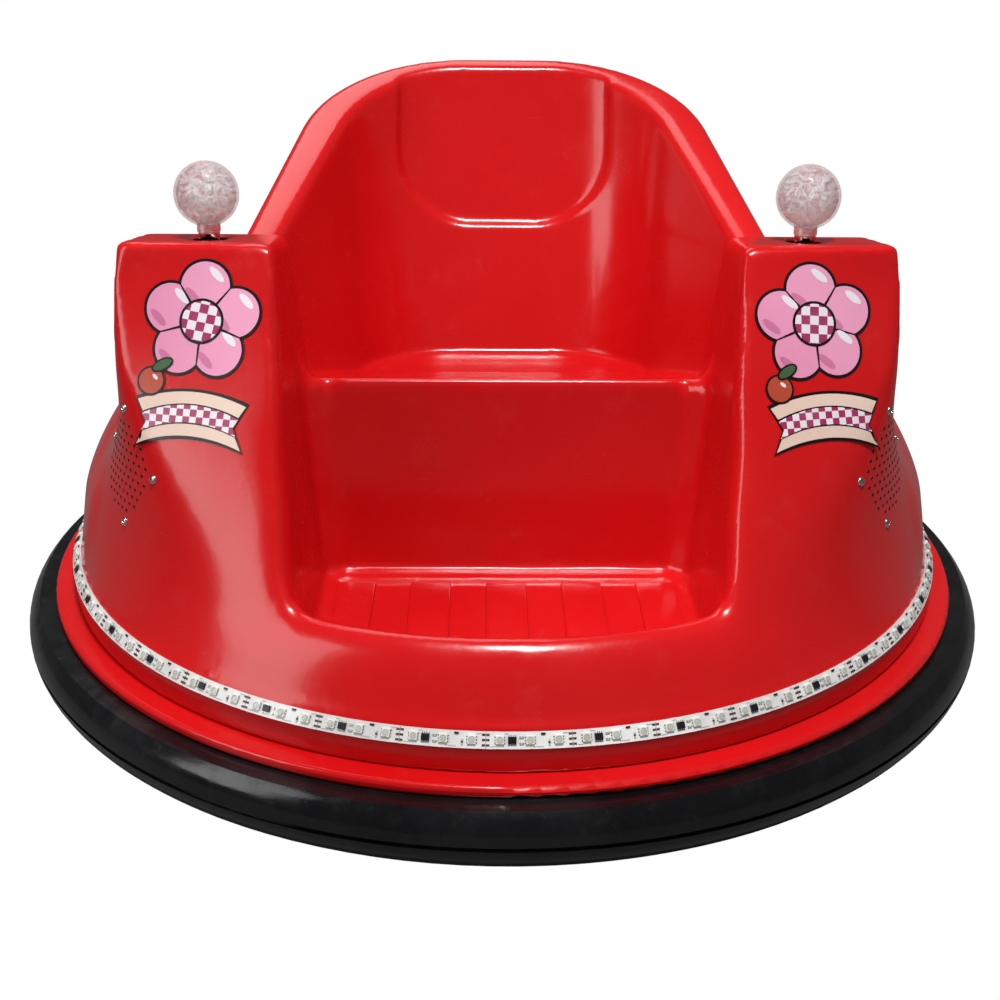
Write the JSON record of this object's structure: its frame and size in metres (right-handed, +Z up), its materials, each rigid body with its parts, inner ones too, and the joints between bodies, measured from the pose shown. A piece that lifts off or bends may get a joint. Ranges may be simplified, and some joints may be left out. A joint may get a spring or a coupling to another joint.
{
  "type": "children's bumper car",
  "caption": "Round open-fronted ride-on bumper car with a rubber ring, high seat back, two ball-topped levers, driven wheels and swivel casters.",
  "frame": {"origin": "on the floor under the centre of the round bumper", "axes": "+Z up, the open front faces -Y, +X to the right seen from the front"},
  "size_m": [0.7159, 0.716, 0.4199],
  "materials": {
    "red_gelcoat": "polished gelcoat on fibreglass",
    "bumper_rubber": "moulded, slightly glossy",
    "light_strip": "white circuit strip with light chips",
    "chassis_steel": "black powder coat",
    "battery_case": "moulded case",
    "motor_steel": "dark grey enamel",
    "wheel_plastic": "glass-filled nylon",
    "wheel_rubber": "solid rubber",
    "chrome": "bright plated",
    "clear_ball": "clear acrylic with fine bubbles",
    "zinc_steel": "zinc plated",
    "caster_tread": "cast polyurethane"
  },
  "bodies": {
    "car": {"body_shell": "red_gelcoat", "seat_tub": "red_gelcoat", "skirt_ring": "red_gelcoat", "bumper_ring": "bumper_rubber", "led_strip": "light_strip", "chassis_plate": "chassis_steel", "battery": "battery_case", "drive_bracket_left": "chassis_steel", "drive_motor_left": "motor_steel", "lever_base_left": "chassis_steel", "drive_bracket_right": "chassis_steel", "drive_motor_right": "motor_steel", "lever_base_right": "chassis_steel", "caster_plate_front_left": "zinc_steel", "caster_plate_front_right": "zinc_steel", "caster_plate_rear_left": "zinc_steel", "caster_plate_rear_right": "zinc_steel"},
    "lever_left": {"lever_stem_left": "chrome", "lever_ball_left": "clear_ball"},
    "drive_wheel_left": {"drive_rim_left": "wheel_plastic", "drive_tyre_left": "wheel_rubber"},
    "lever_right": {"lever_stem_right": "chrome", "lever_ball_right": "clear_ball"},
    "drive_wheel_right": {"drive_rim_right": "wheel_plastic", "drive_tyre_right": "wheel_rubber"},
    "caster_front_left": {"caster_fork_front_left": "zinc_steel"},
    "roller_front_left": {"caster_wheel_front_left": "caster_tread"},
    "caster_front_right": {"caster_fork_front_right": "zinc_steel"},
    "roller_front_right": {"caster_wheel_front_right": "caster_tread"},
    "caster_rear_left": {"caster_fork_rear_left": "zinc_steel"},
    "roller_rear_left": {"caster_wheel_rear_left": "caster_tread"},
    "caster_rear_right": {"caster_fork_rear_right": "zinc_steel"},
    "roller_rear_right": {"caster_wheel_rear_right": "caster_tread"}
  },
  "joints": [
    {"name": "lever_tilt_left", "type": "hinge", "parent": "car", "child": "lever_left", "pos_m": [-0.19597, -0.085, 0.304], "axis": [1, 0, 0], "range_deg": [-12, 12], "stiffness_Nm_per_rad": 1},
    {"name": "drive_spin_left", "type": "hinge", "parent": "car", "child": "drive_wheel_left", "pos_m": [-0.205, 0, 0.06], "axis": [1, 0, 0], "continuous": true},
    {"name": "lever_tilt_right", "type": "hinge", "parent": "car", "child": "lever_right", "pos_m": [0.19597, -0.085, 0.304], "axis": [1, 0, 0], "range_deg": [-12, 12], "stiffness_Nm_per_rad": 1},
    {"name": "drive_spin_right", "type": "hinge", "parent": "car", "child": "drive_wheel_right", "pos_m": [0.205, 0, 0.06], "axis": [1, 0, 0], "continuous": true},
    {"name": "caster_swivel_front_left", "type": "hinge", "parent": "car", "child": "caster_front_left", "pos_m": [-0.15008, -0.16964, 0.09], "axis": [0, 0, 1], "continuous": true},
    {"name": "caster_spin_front_left", "type": "hinge", "parent": "caster_front_left", "child": "roller_front_left", "pos_m": [-0.15008, -0.14964, 0.031], "axis": [1, 0, 0], "continuous": true},
    {"name": "caster_swivel_front_right", "type": "hinge", "parent": "car", "child": "caster_front_right", "pos_m": [0.15008, -0.16964, 0.09], "axis": [0, 0, 1], "continuous": true},
    {"name": "caster_spin_front_right", "type": "hinge", "parent": "caster_front_right", "child": "roller_front_right", "pos_m": [0.15008, -0.14964, 0.031], "axis": [1, 0, 0], "continuous": true},
    {"name": "caster_swivel_rear_left", "type": "hinge", "parent": "car", "child": "caster_rear_left", "pos_m": [-0.15008, 0.16964, 0.09], "axis": [0, 0, 1], "continuous": true},
    {"name": "caster_spin_rear_left", "type": "hinge", "parent": "caster_rear_left", "child": "roller_rear_left", "pos_m": [-0.15008, 0.18964, 0.031], "axis": [1, 0, 0], "continuous": true},
    {"name": "caster_swivel_rear_right", "type": "hinge", "parent": "car", "child": "caster_rear_right", "pos_m": [0.15008, 0.16964, 0.09], "axis": [0, 0, 1], "continuous": true},
    {"name": "caster_spin_rear_right", "type": "hinge", "parent": "caster_rear_right", "child": "roller_rear_right", "pos_m": [0.15008, 0.18964, 0.031], "axis": [1, 0, 0], "continuous": true}
  ]
}
